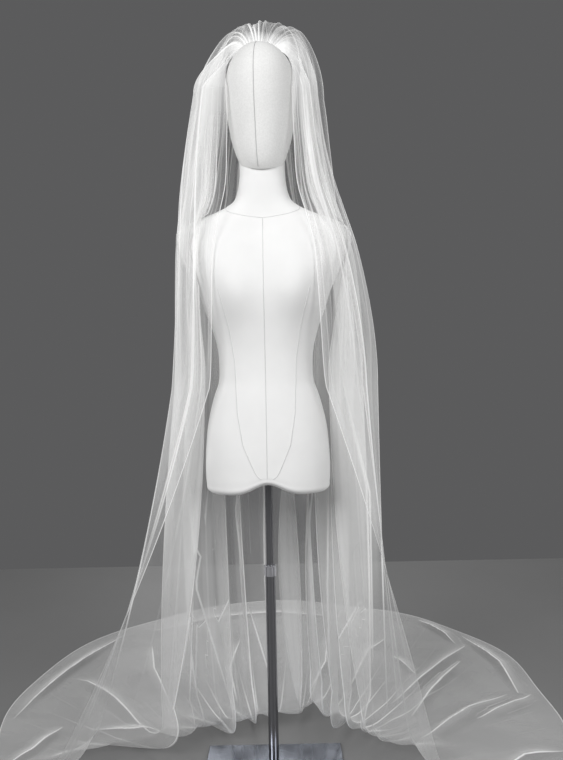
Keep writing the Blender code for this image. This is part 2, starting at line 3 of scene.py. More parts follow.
import bpy
import mathutils
import numpy as np
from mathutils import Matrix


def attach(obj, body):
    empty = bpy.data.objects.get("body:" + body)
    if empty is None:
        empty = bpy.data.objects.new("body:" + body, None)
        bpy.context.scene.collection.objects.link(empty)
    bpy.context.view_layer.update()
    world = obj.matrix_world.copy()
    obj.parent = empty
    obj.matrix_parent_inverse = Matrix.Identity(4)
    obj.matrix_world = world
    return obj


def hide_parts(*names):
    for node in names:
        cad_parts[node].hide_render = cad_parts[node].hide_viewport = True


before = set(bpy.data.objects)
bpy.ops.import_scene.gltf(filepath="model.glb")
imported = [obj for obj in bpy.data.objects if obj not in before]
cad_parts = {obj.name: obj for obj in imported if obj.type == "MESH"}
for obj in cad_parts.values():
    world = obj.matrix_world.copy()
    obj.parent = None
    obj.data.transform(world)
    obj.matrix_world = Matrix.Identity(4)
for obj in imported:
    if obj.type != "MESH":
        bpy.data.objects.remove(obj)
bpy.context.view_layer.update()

# Photograph and camera, in pixels of a 563 by 760 frame and in metres
FRAME_W, FRAME_H = 563, 760
FOCAL_PX = 673.0
HORIZON_Y = 365.0
AXIS_X_AT_CENTRE = 266.4    # x of the pole's axis at the middle of the picture
CAMERA_BACK = 1.65          # from the pole's axis to the camera
CAMERA_Z = 1.0486
ROLL = math.radians(1.13)
SENSOR = 36.0

# Stage
FLOOR_HALF = 6.0            # half of the floor's width, and how far it runs to the front
FLOOR_BACK = 1.88           # where the floor ends and the backdrop begins
FLOOR_COLOUR, BACKDROP_COLOUR = (0.20, 0.20, 0.20), (0.105, 0.105, 0.107)
LIGHTS = (
    # name, place, what it points at, size, power
    ("key", (-2.2, -3.0, 3.0), (0, 0, 0.9), (2.2, 2.2), 130),
    ("fill", (2.6, -2.6, 2.2), (0, 0, 0.9), (2.2, 2.6), 75),
    ("rim", (0.5, 3.4, 3.2), (0, 0.3, 0.8), (3.0, 1.6), 60),
)

# Veil
RING_Z, WAIST_Z, KNEE_Z, BEND_Z = 1.70, 1.00, 0.50, 0.16
BEND_SHARE = 0.26           # share of the train that the turn onto the floor takes up
BEND_CORNER = (0.02, 0.05)  # where that turn heads: height of the falls, and share of the train
RIDGE_HEIGHT, RIDGE_SHARE = 0.012, 0.40     # of the ridges that run from the folds onto the train
FOLD_ROUND = 0.08           # of the way to the next fold line
LIE = 0.0012                # height of the tulle's middle over the floor
CLEAR = 0.0030              # from the tulle to the form under it
SLOPE_STEP, MOST_SLOPE = 0.008, 4.0     # for the clearance over a shoulder
CROWN_ROWS, FALL_ROWS, BEND_ROWS, TRAIN_ROWS = 34, 70, 22, 70
FOLD_STEPS = (0, 0.03, 0.065, 0.11, 0.17, 0.25, 0.37, 0.5, 0.63, 0.75, 0.83, 0.89, 0.935, 0.97)
CUT_WIDTH, CUT_LENGTH, CUT_AREA = 2.40, 2.85, 6.22
GATHER_WIDTH = 0.096
SEED = 11

# Crown
CREST_SHARE = 0.96          # of the rise that the table of fold lines gives
CREST_OUT, CREST_LEAN = 0.008, 0.42     # how far out a fold heads from the comb, and more by its crest
CREST_LEAN_BACK = 0.6       # share of that at the back
CREST_LEAN_RIGHT, RIGHT_CREST = 0.9, 0.1    # more again on the right, in full from this crest up
CREST_HOLD = 1.4            # how late the pleats open
CROWN_DROP, CROWN_DROP_CREST = 0.016, 0.22  # height from which it drops to the ring, and more by its crest
CROWN_DROP_BACK, CROWN_DROP_REACH = 0.050, 0.042    # and more at the back and on an outer fold
CROWN_SPREAD = 0.9          # less than 1 sets the crown's rows closer at the comb
EDGE_HUG = 0.30             # share of the rise that is left at the front edges, which hug the head
EDGE_FOLDS = 3.5            # fold lines from there over which it comes back

# Unevenness of the sheet
STREAK, STREAK_HIGH = 0.0008, 0.0026        # height of the gathers' streaks, and more towards the crown
STREAK_RISE = 0.8           # height over the waist in which that comes
STREAK_WAVES = ((2.2, 3.8, 0.7), (4.5, 7.0, 0.45))     # least and most turn for each fold line, share
STREAK_DRIFT, DRIFT_DOWN = 0.125, 2.2       # of the way to the next fold line, and turn for each metre
STREAK_IN, STREAK_OUT = 0.10, 0.05          # length below the comb and height over the floor of their fades
SLACK, SLACK_AT, SLACK_WIDTH = 0.012, 0.17, 0.10    # swell beyond the falls' foot: height, place, width
SLACK_DOWN = 6              # turn of its waves for each metre
BREAK, BREAK_FOLDS = 0.075, 3   # how far a fold's slack foot breaks forward, and the lines in which it grows
SWELL, SWELL_IN = 0.004, 0.3    # of the train over the floor, and the length in which it grows
SWELL_ACROSS, SWELL_ALONG = 9, 4    # turn of its waves for each metre
HEM_WAVE, HEM_DEPTH = 0.012, 0.25           # how far the hem waves, and how deep into the train
EDGE_TURN = 0.4             # how sharply the cut front edges are taken to turn

# Train, as an oval on the floor
OVAL_CENTRE = (0.012, 0.45)
OVAL_HALF_WIDTH, OVAL_BACK, OVAL_FRONT = 0.835, 0.85, 0.80
OVAL_TURN = 125.0           # degrees from the back of the oval to each of its front ends

# Dress form and comb
FORM_POWER = 0.88           # 1 is an ellipse, and less is squarer
FORM_COLUMNS, HEAD_COLUMNS = 128, 96
FORM_STEPS, HEAD_STEPS = 4, 5           # rings for each row of the tables
UNDERSIDE_SHARES = (0.35, 0.6, 0.8, 0.93)   # rings of the torso's underside, of its full size
SHARP_ANGLE = math.radians(55)
BUST_X, BUST_Z, BUST_RISE, BUST_WIDTH, BUST_HEIGHT = 0.078, 1.222, 0.024, 0.056, 0.070
NECK_TOP_Z, NECK_TILT = 1.5436, 0.60
TILT_FROM_Z, TILT_IN_HEAD = 1.47, 0.09      # where the seam's tilt begins, and how far up it fades
LEG_ARCH, LEG_ARCH_WIDTH, LEG_ARCH_HEIGHT = 0.026, 0.045, 0.06
HEAD_TURN = math.radians(-8.0)
HEAD_TOP_Z = 1.8215
SEAM_GAP = 0.0003
HEAD_LIFT = SEAM_GAP * 1.2  # from the neck's cover to the head's
COMB_LIFT, COMB_THICK, GATHER_LIFT = 0.0010, 0.0026, 0.0012
COMB_TOP = COMB_LIFT + COMB_THICK + SEAM_GAP + GATHER_LIFT  # from the head to the middle of the tulle
COMB_PLEAT = 0.0006         # half the depth of a pleat at the comb
STITCHES, STITCH_STEPS = 24, 14
STITCH_DEEP, STITCH_HIGH, STITCH_R = 0.0034, 0.0030, 0.0004

# Seams of the covers
SEAM_R, SEAM_LIFT = 0.0008, 0.0002      # radius of a seam's ridge, and its middle over the cover
CENTRE_SEAM, SHOULDER_SEAM, HEAD_SEAM = (0.770, 1.396), (1.368, 1.436), (1.550, 1.815)  # lowest, highest
SHOULDER_ANGLE = math.radians(100)      # from the back
NECK_SEAM_Z, NECK_SEAM_DIP = 1.442, 0.046   # and how much lower it is at the front

TORSO = np.array([
    # z,     half,   front, back
    (0.7450, 0.1420, 0.096, 0.098),
    (0.7500, 0.1475, 0.102, 0.106),
    (0.7650, 0.1505, 0.105, 0.113),
    (0.7930, 0.1520, 0.106, 0.118),
    (0.8540, 0.1500, 0.105, 0.121),
    (0.9030, 0.1450, 0.102, 0.114),
    (0.9420, 0.1370, 0.098, 0.103),
    (0.9810, 0.1260, 0.093, 0.091),
    (1.0080, 0.1165, 0.090, 0.083),
    (1.0450, 0.1140, 0.089, 0.079),
    (1.0950, 0.1180, 0.092, 0.081),
    (1.1430, 0.1310, 0.098, 0.087),
    (1.1850, 0.1470, 0.104, 0.092),
    (1.2260, 0.1600, 0.107, 0.096),
    (1.2730, 0.1820, 0.102, 0.098),
    (1.3110, 0.2010, 0.093, 0.097),
    (1.3410, 0.2090, 0.083, 0.094),
    (1.3630, 0.2100, 0.073, 0.089),
    (1.3830, 0.2020, 0.064, 0.084),
    (1.3930, 0.1860, 0.060, 0.081),
    (1.4030, 0.1600, 0.057, 0.078),
    (1.4150, 0.1270, 0.055, 0.074),
    (1.4300, 0.0930, 0.053, 0.068),
    (1.4440, 0.0735, 0.052, 0.062),
    (1.4640, 0.0630, 0.051, 0.057),
    (1.4870, 0.0580, 0.050, 0.054),
    (1.5180, 0.0552, 0.049, 0.052),
    (1.5436, 0.0552, 0.049, 0.052),
])
HEAD = np.array([
    # z,     half,   front, back
    (1.5436, 0.0552, 0.054, 0.052),
    (1.5650, 0.0635, 0.068, 0.062),
    (1.5900, 0.0715, 0.080, 0.075),
    (1.6200, 0.0775, 0.089, 0.088),
    (1.6600, 0.0832, 0.096, 0.099),
    (1.7000, 0.0855, 0.099, 0.105),
    (1.7350, 0.0838, 0.097, 0.104),
    (1.7650, 0.0765, 0.089, 0.095),
    (1.7900, 0.0635, 0.074, 0.079),
    (1.8050, 0.0490, 0.058, 0.061),
    (1.8150, 0.0340, 0.041, 0.042),
    (1.8200, 0.0180, 0.022, 0.022),
])

# The falls at each height: the angle from the back to a front edge, then the reach of the inmost
# and outmost folds to the left, right, back and front, and the power of the oval.
FALL = np.array([
    # z,   edge, in_l,  out_l, in_r,  out_r, in_b,  out_b, in_f,  out_f, power
    (1.70, 124, 0.0900, 0.172, 0.0900, 0.160, 0.113, 0.162, 0.106, 0.130, 1.00),
    (1.57, 127, 0.0950, 0.197, 0.0940, 0.180, 0.110, 0.172, 0.100, 0.130, 0.95),
    (1.46, 129, 0.1020, 0.213, 0.1000, 0.209, 0.104, 0.176, 0.098, 0.130, 0.88),
    (1.40, 135, 0.1250, 0.219, 0.1250, 0.224, 0.104, 0.172, 0.098, 0.130, 0.80),
    (1.34, 138, 0.1450, 0.222, 0.1450, 0.240, 0.108, 0.168, 0.104, 0.134, 0.76),
    (1.23, 137, 0.1480, 0.226, 0.1450, 0.260, 0.112, 0.166, 0.128, 0.155, 0.76),
    (1.13, 134, 0.1450, 0.230, 0.1400, 0.271, 0.104, 0.168, 0.118, 0.152, 0.78),
    (1.04, 130, 0.1420, 0.235, 0.1360, 0.275, 0.098, 0.172, 0.106, 0.145, 0.80),
    (0.95, 127, 0.1480, 0.241, 0.1430, 0.274, 0.112, 0.176, 0.106, 0.140, 0.82),
])

# Each fold line from the left front edge to the right one: its angle from the back at the waist,
# how high it rises from the comb, its reach at the head and waist, and its place at the knee and floor.
FOLDS = np.array([
    # angle, crest, head, waist, knee_x, knee_y, foot_x, foot_y
    (-132, 0.011, 0.00, 0.15, -0.325, -0.050, -0.575, -0.030),
    (-125, 0.026, 0.80, 0.60, -0.331, -0.038, -0.560, 0.015),
    (-119, 0.040, 0.25, 0.50, -0.334, -0.025, -0.540, 0.060),
    (-113, 0.056, 0.95, 1.00, -0.336, -0.012, -0.500, 0.120),
    (-107, 0.064, 0.10, 0.15, -0.262, -0.004, -0.430, 0.150),
    (-101, 0.082, 0.60, 0.05, -0.188, 0.006, -0.300, 0.135),
    (-95, 0.090, 0.05, 0.50, -0.232, 0.018, -0.304, 0.147),
    (-89, 0.118, 1.00, 0.92, -0.275, 0.030, -0.306, 0.160),
    (-82, 0.112, 0.30, 0.35, -0.234, 0.042, -0.275, 0.172),
    (-76, 0.138, 0.85, 0.12, -0.192, 0.054, -0.240, 0.180),
    (-69, 0.146, 0.30, 0.80, -0.225, 0.078, -0.190, 0.190),
    (-61, 0.160, 0.50, 0.30, -0.166, 0.092, -0.150, 0.195),
    (-53, 0.168, 0.42, 0.00, -0.110, 0.106, -0.110, 0.185),
    (-45, 0.186, 0.55, 0.70, -0.150, 0.136, -0.115, 0.215),
    (-36, 0.172, 0.42, 0.25, -0.118, 0.152, -0.090, 0.225),
    (-27, 0.176, 0.52, 0.15, -0.074, 0.166, -0.050, 0.215),
    (-17, 0.186, 0.30, 0.60, -0.090, 0.192, -0.045, 0.240),
    (-8, 0.208, 0.80, 0.10, -0.004, 0.180, 0.000, 0.225),
    (1, 0.204, 0.35, 0.70, -0.024, 0.208, 0.008, 0.252),
    (9, 0.206, 0.60, 0.15, 0.081, 0.198, 0.075, 0.255),
    (19, 0.202, 0.42, 0.70, 0.014, 0.232, 0.085, 0.285),
    (27, 0.204, 0.58, 0.95, 0.098, 0.246, 0.120, 0.290),
    (37, 0.200, 0.42, 0.10, 0.107, 0.148, 0.150, 0.240),
    (45, 0.200, 0.52, 0.70, 0.168, 0.136, 0.190, 0.230),
    (54, 0.168, 0.38, 0.00, 0.122, 0.108, 0.178, 0.185),
    (61, 0.164, 0.85, 0.90, 0.206, 0.094, 0.222, 0.195),
    (69, 0.150, 0.35, 0.25, 0.157, 0.072, 0.205, 0.150),
    (76, 0.156, 0.90, 0.85, 0.256, 0.060, 0.262, 0.180),
    (82, 0.136, 0.05, 0.45, 0.216, 0.046, 0.258, 0.150),
    (88, 0.140, 1.00, 0.10, 0.176, 0.032, 0.256, 0.135),
    (95, 0.108, 0.40, 0.50, 0.230, 0.018, 0.275, 0.130),
    (101, 0.090, 0.75, 1.00, 0.280, 0.004, 0.305, 0.125),
    (107, 0.062, 0.10, 0.70, 0.284, -0.012, 0.335, 0.100),
    (113, 0.046, 0.60, 0.85, 0.287, -0.028, 0.365, 0.062),
    (120, 0.026, 0.20, 0.45, 0.290, -0.044, 0.395, 0.018),
    (130, 0.011, 0.00, 0.20, 0.293, -0.060, 0.420, -0.030),
])
LAST = len(FOLDS) - 1

# Creases that stand up from the train: height, half width and the places (x, y) each runs through.
CREASES = (
    (0.010, 0.040, ((0.415, 0.736), (0.469, 0.578))),
    (0.020, 0.060, ((0.350, 0.380), (0.530, 0.600), (0.712, 0.819))),
    (0.016, 0.050, ((0.395, 0.300), (0.500, 0.470), (0.650, 0.690))),
    (0.012, 0.045, ((0.569, 1.060), (0.640, 0.900), (0.662, 0.811))),
    (0.016, 0.045, ((0.700, 0.890), (0.765, 0.640), (0.760, 0.403))),
    (0.016, 0.050, ((0.727, 0.439), (0.580, 0.345), (0.393, 0.170))),
    (0.014, 0.045, ((0.800, 0.433), (0.755, 0.391), (0.586, 0.295))),
    (0.018, 0.050, ((-0.786, 0.328), (-0.765, 0.450), (-0.715, 0.640), (-0.598, 0.956))),
    (0.018, 0.055, ((-0.676, 0.599), (-0.630, 0.575), (-0.504, 0.433), (-0.353, 0.228))),
    (0.016, 0.050, ((-0.540, 0.280), (-0.448, 0.254), (-0.268, 0.199))),
    (0.009, 0.060, ((-0.500, 1.000), (-0.280, 1.110), (0.020, 1.150), (0.260, 1.120))),
    (0.014, 0.060, ((-0.330, 0.420), (-0.420, 0.640), (-0.470, 0.860))),
    (0.012, 0.060, ((-0.120, 0.420), (-0.160, 0.640), (-0.140, 0.900))),
    (0.012, 0.060, ((0.100, 0.440), (0.170, 0.660), (0.200, 0.960))),
    (0.010, 0.055, ((0.240, 0.500), (0.330, 0.760), (0.420, 0.900))),
    (0.014, 0.050, ((-0.720, 0.080), (-0.660, 0.160), (-0.620, 0.300))),
    (0.012, 0.050, ((0.560, 0.020), (0.660, 0.100), (0.780, 0.130))),
)

# Creases across the hanging folds, all of one height: half width, the fold lines between which each
# lies and the places (x, z) it runs through.
HANGING_HEIGHT = 0.0015
HANGING = (
    (0.030, 6, 12.5, ((-0.241, 0.690), (-0.197, 0.481), (-0.126, 0.170))),
    (0.030, 6, 12.5, ((-0.152, 0.775), (-0.174, 0.596), (-0.243, 0.229))),
    (0.026, 6, 12.5, ((-0.203, 0.964), (-0.207, 0.795), (-0.172, 0.317))),
    (0.026, 9, 12.5, ((-0.187, 0.500), (-0.211, 0.180))),
    (0.028, 9, 12.5, ((-0.088, 0.480), (-0.170, 0.319))),
    (0.030, 22, 26, ((0.153, 0.751), (0.147, 0.457), (0.152, 0.177))),
    (0.030, 25, 29, ((0.252, 0.480), (0.105, 0.206))),
    (0.030, 26, 33, ((0.194, 0.964), (0.246, 0.739), (0.256, 0.260))),
    (0.030, 12, 19, ((-0.072, 0.400), (-0.015, 0.190))),
    (0.030, 17, 23, ((0.130, 0.860), (0.100, 0.600), (0.112, 0.340))),
    (0.030, 12, 19, ((-0.060, 0.940), (-0.092, 0.660), (-0.078, 0.460))),
)
LYING_TO, HANGING_FROM = 0.06, 0.08     # heights where the train's creases end and the others begin
KIND_FADE = 0.05            # height over which either fades
STEEP_SIDE = 0.5            # half width of a crease on its steep side, as a share of the other
CREASE_ENDS = 0.4           # share of its length over which it dies away at each end
CREASE_POINT = 1.5          # more than 1 makes its top sharper
CREASE_REACH, CREASE_FADE = 0.035, 0.010    # how far from a crease its line is told apart
FAR = 0.1                   # distance given to a point with no crease near it

# The flat facets of the crown
FACETS = np.array([
    # fold line, how much higher or lower it rises from the comb
    (0, 0.0), (8, 0.0), (10, 0.004), (12, -0.008), (14, -0.002), (15, -0.012), (16, -0.011),
    (18, -0.008), (20, -0.004), (21.5, -0.016), (24, -0.008), (26, -0.004), (28, -0.014), (30, -0.014),
    (33, 0.0), (35, 0.0),
])

# How the share of thread in the tulle goes with a measure: the measure's low and high values, then the
# share, or the factor of it, at each. Lengths are in metres, and places count fold lines.
THREAD = {
    # name: (low, high, share at low, share at high)
    "ground": (0.4, 1.1, 0.030, 0.12),
    "comb edge": (0.0, 0.045, 0.60, 0.0),
    "hem": (0.0, 0.005, 0.35, 0.0),
    "hanging": (1.0, 1.3, 0.0, 1.0),
    "fold line": (0.0008, 0.0032, 1.0, 0.0),
    "fold turn": (0.02, 0.35, 0.08, 1.30),
    "fold drawn": (0.60, 0.75, 0.12, 1.0),
    "fold below": (0.14, 0.34, 0.0, 1.0),
    "fold lying": (0.55, 1.0, 0.12, 1.0),
    "gathers end": (0.15, 1.05, 1.0, 0.0),
    "gathers": (0.05, 0.32, 0.06, 1.0),
    "panel": (0.0, 1.0, -0.02, 0.11),
    "band": (0.44, 0.60, -0.03, 0.16),
    "band starts": (0.10, 0.30, 0.0, 1.0),
    "band fades": (0.9, 1.8, 1.0, 0.6),
    "side": (4.0, 6.5, 0.0, 0.14),
    "side ends": (12.8, 14.5, 1.0, 0.1),
    "side starts": (0.5, 1.1, 0.1, 1.0),
    "temple": (12.0, 15.5, 0.0, 0.40),
    "temple ends": (0.06, 0.30, 1.0, 0.0),
    "crease line": (0.0006, 0.0034, 0.60, 0.0),
    "lap": (-0.030, 0.0, 0.0, 0.10),
    "lap ends": (0.0, 0.004, 1.0, 0.0),
    "cloud": (0.3, 0.7, -0.02, 0.03),
    "cell": (0.0, 0.15, 0.10, -0.01),
}
STREAK_LINES = (
    # across, along, width, share of thread
    (1.3, 0.7, 0.022, 0.75),
    (3.4, 1.0, 0.026, 0.14),
)
BAND_ACROSS, BAND_ALONG = 1.7, 0.4      # how fast the bands change, for each fold line and metre
LEAST_THREAD, MOST_THREAD = 0.03, 0.96
LEAST_SLANT = 0.06          # keeps the net that is seen edge on from dividing by nothing
CELLS = 700.0               # of the net, for each metre

# The seam down each side of the torso's front: height and distance from the middle.
PRINCESS = ((1.225, 0.105), (1.140, 0.084), (1.062, 0.072), (0.937, 0.067), (0.863, 0.055), (0.800, 0.028),
            (0.772, 0.014))


def smooth(t):
    t = np.clip(t, 0, 1)
    return t * t * (3 - 2 * t)


def table_at(table, z):
    """Every column of a table at the heights z, on a smooth curve through its rows."""
    rows = table[np.argsort(table[:, 0])]
    x, y = rows[:, 0], rows[:, 1:]
    slope = np.gradient(y, x, axis=0)
    z = np.clip(np.asarray(z, float), x[0], x[-1])
    i = np.clip(np.searchsorted(x, z) - 1, 0, len(x) - 2)
    step = (x[i + 1] - x[i])[..., None]
    t = ((z - x[i]) / (x[i + 1] - x[i]))[..., None]
    return ((2 * t**3 - 3 * t**2 + 1) * y[i] + (t**3 - 2 * t**2 + t) * step * slope[i]
            + (3 * t**2 - 2 * t**3) * y[i + 1] + (t**3 - t**2) * step * slope[i + 1])


def oval(angle, left, right, back, front, power):
    across, deep = np.sin(angle), np.cos(angle)
    x = np.where(across < 0, left, right) * np.sign(across) * np.abs(across) ** power
    y = np.where(deep < 0, front, back) * np.sign(deep) * np.abs(deep) ** power
    return x, y


def bezier(a, b, c, d, t):
    return (1 - t) ** 3 * a + 3 * (1 - t) ** 2 * t * b + 3 * (1 - t) * t**2 * c + t**3 * d


def unit(vectors):
    return vectors / np.maximum(np.linalg.norm(vectors, axis=-1, keepdims=True), 1e-12)


def bust(x, z):
    along = np.exp(-((z - BUST_Z) / BUST_HEIGHT) ** 2)
    return BUST_RISE * along * (np.exp(-((x - BUST_X) / BUST_WIDTH) ** 2)
                                + np.exp(-((x + BUST_X) / BUST_WIDTH) ** 2))


def pushed_clear(points):
    """The points moved out, where they need it, until they clear the head and torso."""
    x, y, z = points[..., 0], points[..., 1], points[..., 2]
    scale = np.ones_like(x)
    for table, top in ((TORSO, NECK_TOP_Z), (HEAD, HEAD[-1, 0])):
        half, front, back = np.moveaxis(table_at(table, z), -1, 0)
        steep = (table_at(table, z + SLOPE_STEP) - table_at(table, z - SLOPE_STEP)) / (2 * SLOPE_STEP)
        clear = CLEAR * np.sqrt(1 + np.minimum(np.abs(steep[..., 0]), MOST_SLOPE) ** 2)
        deep = np.where(y < 0, front + bust(x, z), back)
        power = 2 / FORM_POWER
        inside = (np.abs(x) / (half + clear)) ** power + (np.abs(y) / (deep + clear)) ** power
        here = (z > table[0, 0] - 0.02) & (z <= top) & (inside < 1)
        scale = np.where(here, np.maximum(scale, np.maximum(inside, 1e-3) ** (-1 / power)), scale)
    moved = points.copy()
    moved[..., 0] = x * scale
    moved[..., 1] = y * scale
    return moved


def waves(values, seed, count, low, high):
    """A smooth uneven line through the values, from -1 to 1, of a few sine waves."""
    draw = np.random.default_rng(seed)
    total = np.zeros_like(values, dtype=float)
    for _ in range(count):
        total += np.sin(values * draw.uniform(low, high) + draw.uniform(0, 2 * math.pi))
    return total / math.sqrt(count)


def at_fold(q, values):
    """Values that each fold line has, read between the lines at q, with each turn rounded."""
    lines = np.arange(LAST + 1)
    return sum(np.interp(q + step, lines, values) for step in (-FOLD_ROUND, 0, FOLD_ROUND)) / 3


def fold_values(q, z):
    """The angle round the form, in radians, and the reach of the sheet at the fold coordinates q,
    which count fold lines from the left front edge, at height z, from the waist up."""
    edge = table_at(FALL, z)[0]
    top = np.linspace(-edge, edge, len(FOLDS))
    high = smooth((z - WAIST_Z) / (RING_Z - WAIST_Z))
    place = FOLDS[:, 0] * edge / abs(FOLDS[0, 0])
    place = place + (top - place) * high
    reach = FOLDS[:, 3] + (FOLDS[:, 2] - FOLDS[:, 3]) * high
    return np.radians(at_fold(q, place)), at_fold(q, reach)


def fall_row(q, z, depth=1.0):
    """The row of the falls at height z, with a share of the folds' depth. Below the waist each
    fold line runs on a slight curve through its waist, knee and foot."""
    level = max(z, WAIST_Z)
    angle, reach = fold_values(q, level)
    reach = 0.5 + (reach - 0.5) * depth
    _, in_l, out_l, in_r, out_r, in_b, out_b, in_f, out_f, power = table_at(FALL, level)
    x, y = oval(angle, in_l + (out_l - in_l) * reach, in_r + (out_r - in_r) * reach,
                in_b + (out_b - in_b) * reach, in_f + (out_f - in_f) * reach, power)
    if z < WAIST_Z:
        waist = (z - KNEE_Z) * z / ((WAIST_Z - KNEE_Z) * WAIST_Z)
        knee = (WAIST_Z - z) * z / ((WAIST_Z - KNEE_Z) * KNEE_Z)
        foot = (WAIST_Z - z) * (KNEE_Z - z) / (WAIST_Z * KNEE_Z)
        x = waist * x + knee * at_fold(q, FOLDS[:, 4]) + foot * at_fold(q, FOLDS[:, 6])
        y = waist * y + knee * at_fold(q, FOLDS[:, 5]) + foot * at_fold(q, FOLDS[:, 7])
    return pushed_clear(np.stack([x, y, np.full_like(x, z)], -1))


def head_surface(x, y):
    turned_x = x * math.cos(HEAD_TURN) + y * math.sin(HEAD_TURN)
    turned_y = y * math.cos(HEAD_TURN) - x * math.sin(HEAD_TURN)
    rows = np.vstack([HEAD, [HEAD_TOP_Z, 1e-5, 1e-5, 1e-5]])
    z = np.linspace(HEAD[np.argmax(HEAD[:, 1]), 0], HEAD_TOP_Z, 600)
    half = np.interp(z, rows[:, 0], rows[:, 1])
    deep = np.interp(z, rows[:, 0], rows[:, 2 if turned_y < 0 else 3])
    return float(np.interp(1.0, np.hypot(turned_x / half, turned_y / deep), z))


def comb_edge(q):
    x = (q / LAST - 0.5) * GATHER_WIDTH
    y = COMB_PLEAT * np.cos(math.pi * q)
    z = np.array([head_surface(*place) for place in zip(x, y)])
    return np.stack([x, y, z + COMB_TOP], -1)


def crown_row(q, share):
    """A row of the crown, at a share of the way from the comb to the ring at RING_Z. Its pleats
    open later at the sides, where they lie closest."""
    angle, reach = fold_values(q, RING_Z)
    sideways = 1 - np.clip(np.cos(angle) + 0.5, 0, 1)[:, None]
    opened = smooth(share) ** (CREST_HOLD + sideways)
    start, ring, closed = comb_edge(q), fall_row(q, RING_Z), fall_row(q, RING_Z, 0.0)
    out = np.stack([np.sin(angle), np.cos(angle), np.zeros_like(angle)], -1)
    up = np.array([0, 0, 1.0])
    backward = smooth((np.cos(angle) + 0.5) / 1.5)[:, None]
    reach = 0.5 + (reach[:, None] - 0.5) * opened
    facet = np.interp(np.arange(LAST + 1), FACETS[:, 0], FACETS[:, 1])
    crest = at_fold(q, CREST_SHARE * FOLDS[:, 1] + facet)[:, None]
    right = np.clip(np.sin(angle), 0, 1)[:, None] * smooth(crest / RIGHT_CREST)
    lean = (CREST_OUT + CREST_LEAN * crest) * (1 - (1 - CREST_LEAN_BACK) * backward)
    lean = lean * (1 + CREST_LEAN_RIGHT * right)
    close = (EDGE_HUG + (1 - EDGE_HUG) * smooth(np.minimum(q, LAST - q) / EDGE_FOLDS))[:, None]
    first = start + (out * lean + up * crest) * close
    drop = CROWN_DROP + CROWN_DROP_CREST * crest + CROWN_DROP_BACK * backward + CROWN_DROP_REACH * reach
    drop = drop * close
    second = closed + (ring - closed) * opened + up * drop
    return pushed_clear(bezier(start, first, second, ring, share))


def hem(q):
    """The hem of the train, on its oval."""
    turn = (2 * q / LAST - 1) * math.radians(OVAL_TURN)
    x, y = oval(turn, OVAL_HALF_WIDTH, OVAL_HALF_WIDTH, OVAL_BACK, OVAL_FRONT, 1.0)
    return np.stack([x + OVAL_CENTRE[0], y + OVAL_CENTRE[1], np.full_like(x, LIE)], -1)


def train_row(q, share):
    """A row of the train lying on the floor, at a share of the way from the falls to the hem."""
    foot = fall_row(q, 0.0)
    row = foot + (hem(q) - foot) * share
    row[:, 2] = LIE + RIDGE_HEIGHT * at_fold(q, FOLDS[:, 3]) * (1 - smooth(share / RIDGE_SHARE)) ** 2
    return row


def bend_row(q, share):
    """A row of the turn from the falls onto the floor, where the slack foot breaks forward."""
    low, beyond = BEND_CORNER
    corner = fall_row(q, low)
    middle = smooth((q - 0.5) / BREAK_FOLDS) * smooth((LAST - 0.5 - q) / BREAK_FOLDS)
    forward = BREAK * middle * (0.6 + 0.5 * waves(q, SEED + 50, 3, 1.0, 2.4))
    corner -= unit(corner * (1, 1, 0)) * forward[:, None]
    corner[:, 2] = LIE + RIDGE_HEIGHT * at_fold(q, FOLDS[:, 3])
    return bezier(fall_row(q, BEND_Z), corner, train_row(q, beyond), train_row(q, BEND_SHARE), share)


def crease_field(across, along, height, half, points):
    """One crease drawn on a plane: how far it lifts each point there, its distance with a sign for
    the side, and how strongly it shows. It is steeper on one side and dies away at both ends."""
    path = np.array(points)
    lengths = np.linalg.norm(np.diff(path, axis=0), axis=1)
    starts = np.concatenate([[0], np.cumsum(lengths)])
    side, place = np.full_like(across, np.inf), np.zeros_like(across)
    for i, length in enumerate(lengths):
        dx, dy = (path[i + 1] - path[i]) / length
        run = np.clip((across - path[i, 0]) * dx + (along - path[i, 1]) * dy, 0, length)
        off_x = across - path[i, 0] - run * dx
        off_y = along - path[i, 1] - run * dy
        away = np.hypot(off_x, off_y) * np.where(off_x * dy < off_y * dx, -1, 1)
        nearer = np.abs(away) < np.abs(side)
        place = np.where(nearer, starts[i] + run, place)
        side = np.where(nearer, away, side)
    share = place / starts[-1]
    ends = smooth(share / CREASE_ENDS) * smooth((1 - share) / CREASE_ENDS)
    near = np.maximum(0, 1 - np.abs(side) / np.where(side < 0, half, STEEP_SIDE * half))
    shows = np.sqrt(ends) * smooth((CREASE_REACH - np.abs(side)) / CREASE_FADE)
    return height * ends * near**CREASE_POINT, side, shows


def creased(q, grid):
    """The sheet with its creases, the distance from each point to the nearest one, and how
    strongly that one shows."""
    x, z = grid[..., 0], grid[..., 2]
    moved = grid.copy()
    nearest, shows = np.full_like(x, FAR), np.zeros_like(x)
    lying, hanging = smooth((LYING_TO - z) / KIND_FADE), smooth((z - HANGING_FROM) / KIND_FADE)
    upward, outward = np.array([0, 0, 1.0]), grid_normals(grid)
    creases = [(height, half, lying, grid[..., 1], upward, points) for height, half, points in CREASES]
    creases += [(HANGING_HEIGHT, half, smooth(q - first) * smooth(last - q) * hanging, z, outward, points)
                for half, first, last, points in HANGING]
    for height, half, where, along, way, points in creases:
        lift, side, line = crease_field(x, along, height, half, points)
        moved += way * (lift * where)[..., None]
        stronger = line * where > shows
        nearest = np.where(stronger, side, nearest)
        shows = np.where(stronger, line * where, shows)
    return moved, np.clip(nearest, -FAR, FAR), shows


def grid_normals(grid):
    return unit(np.cross(np.gradient(grid, axis=1), np.gradient(grid, axis=0)))


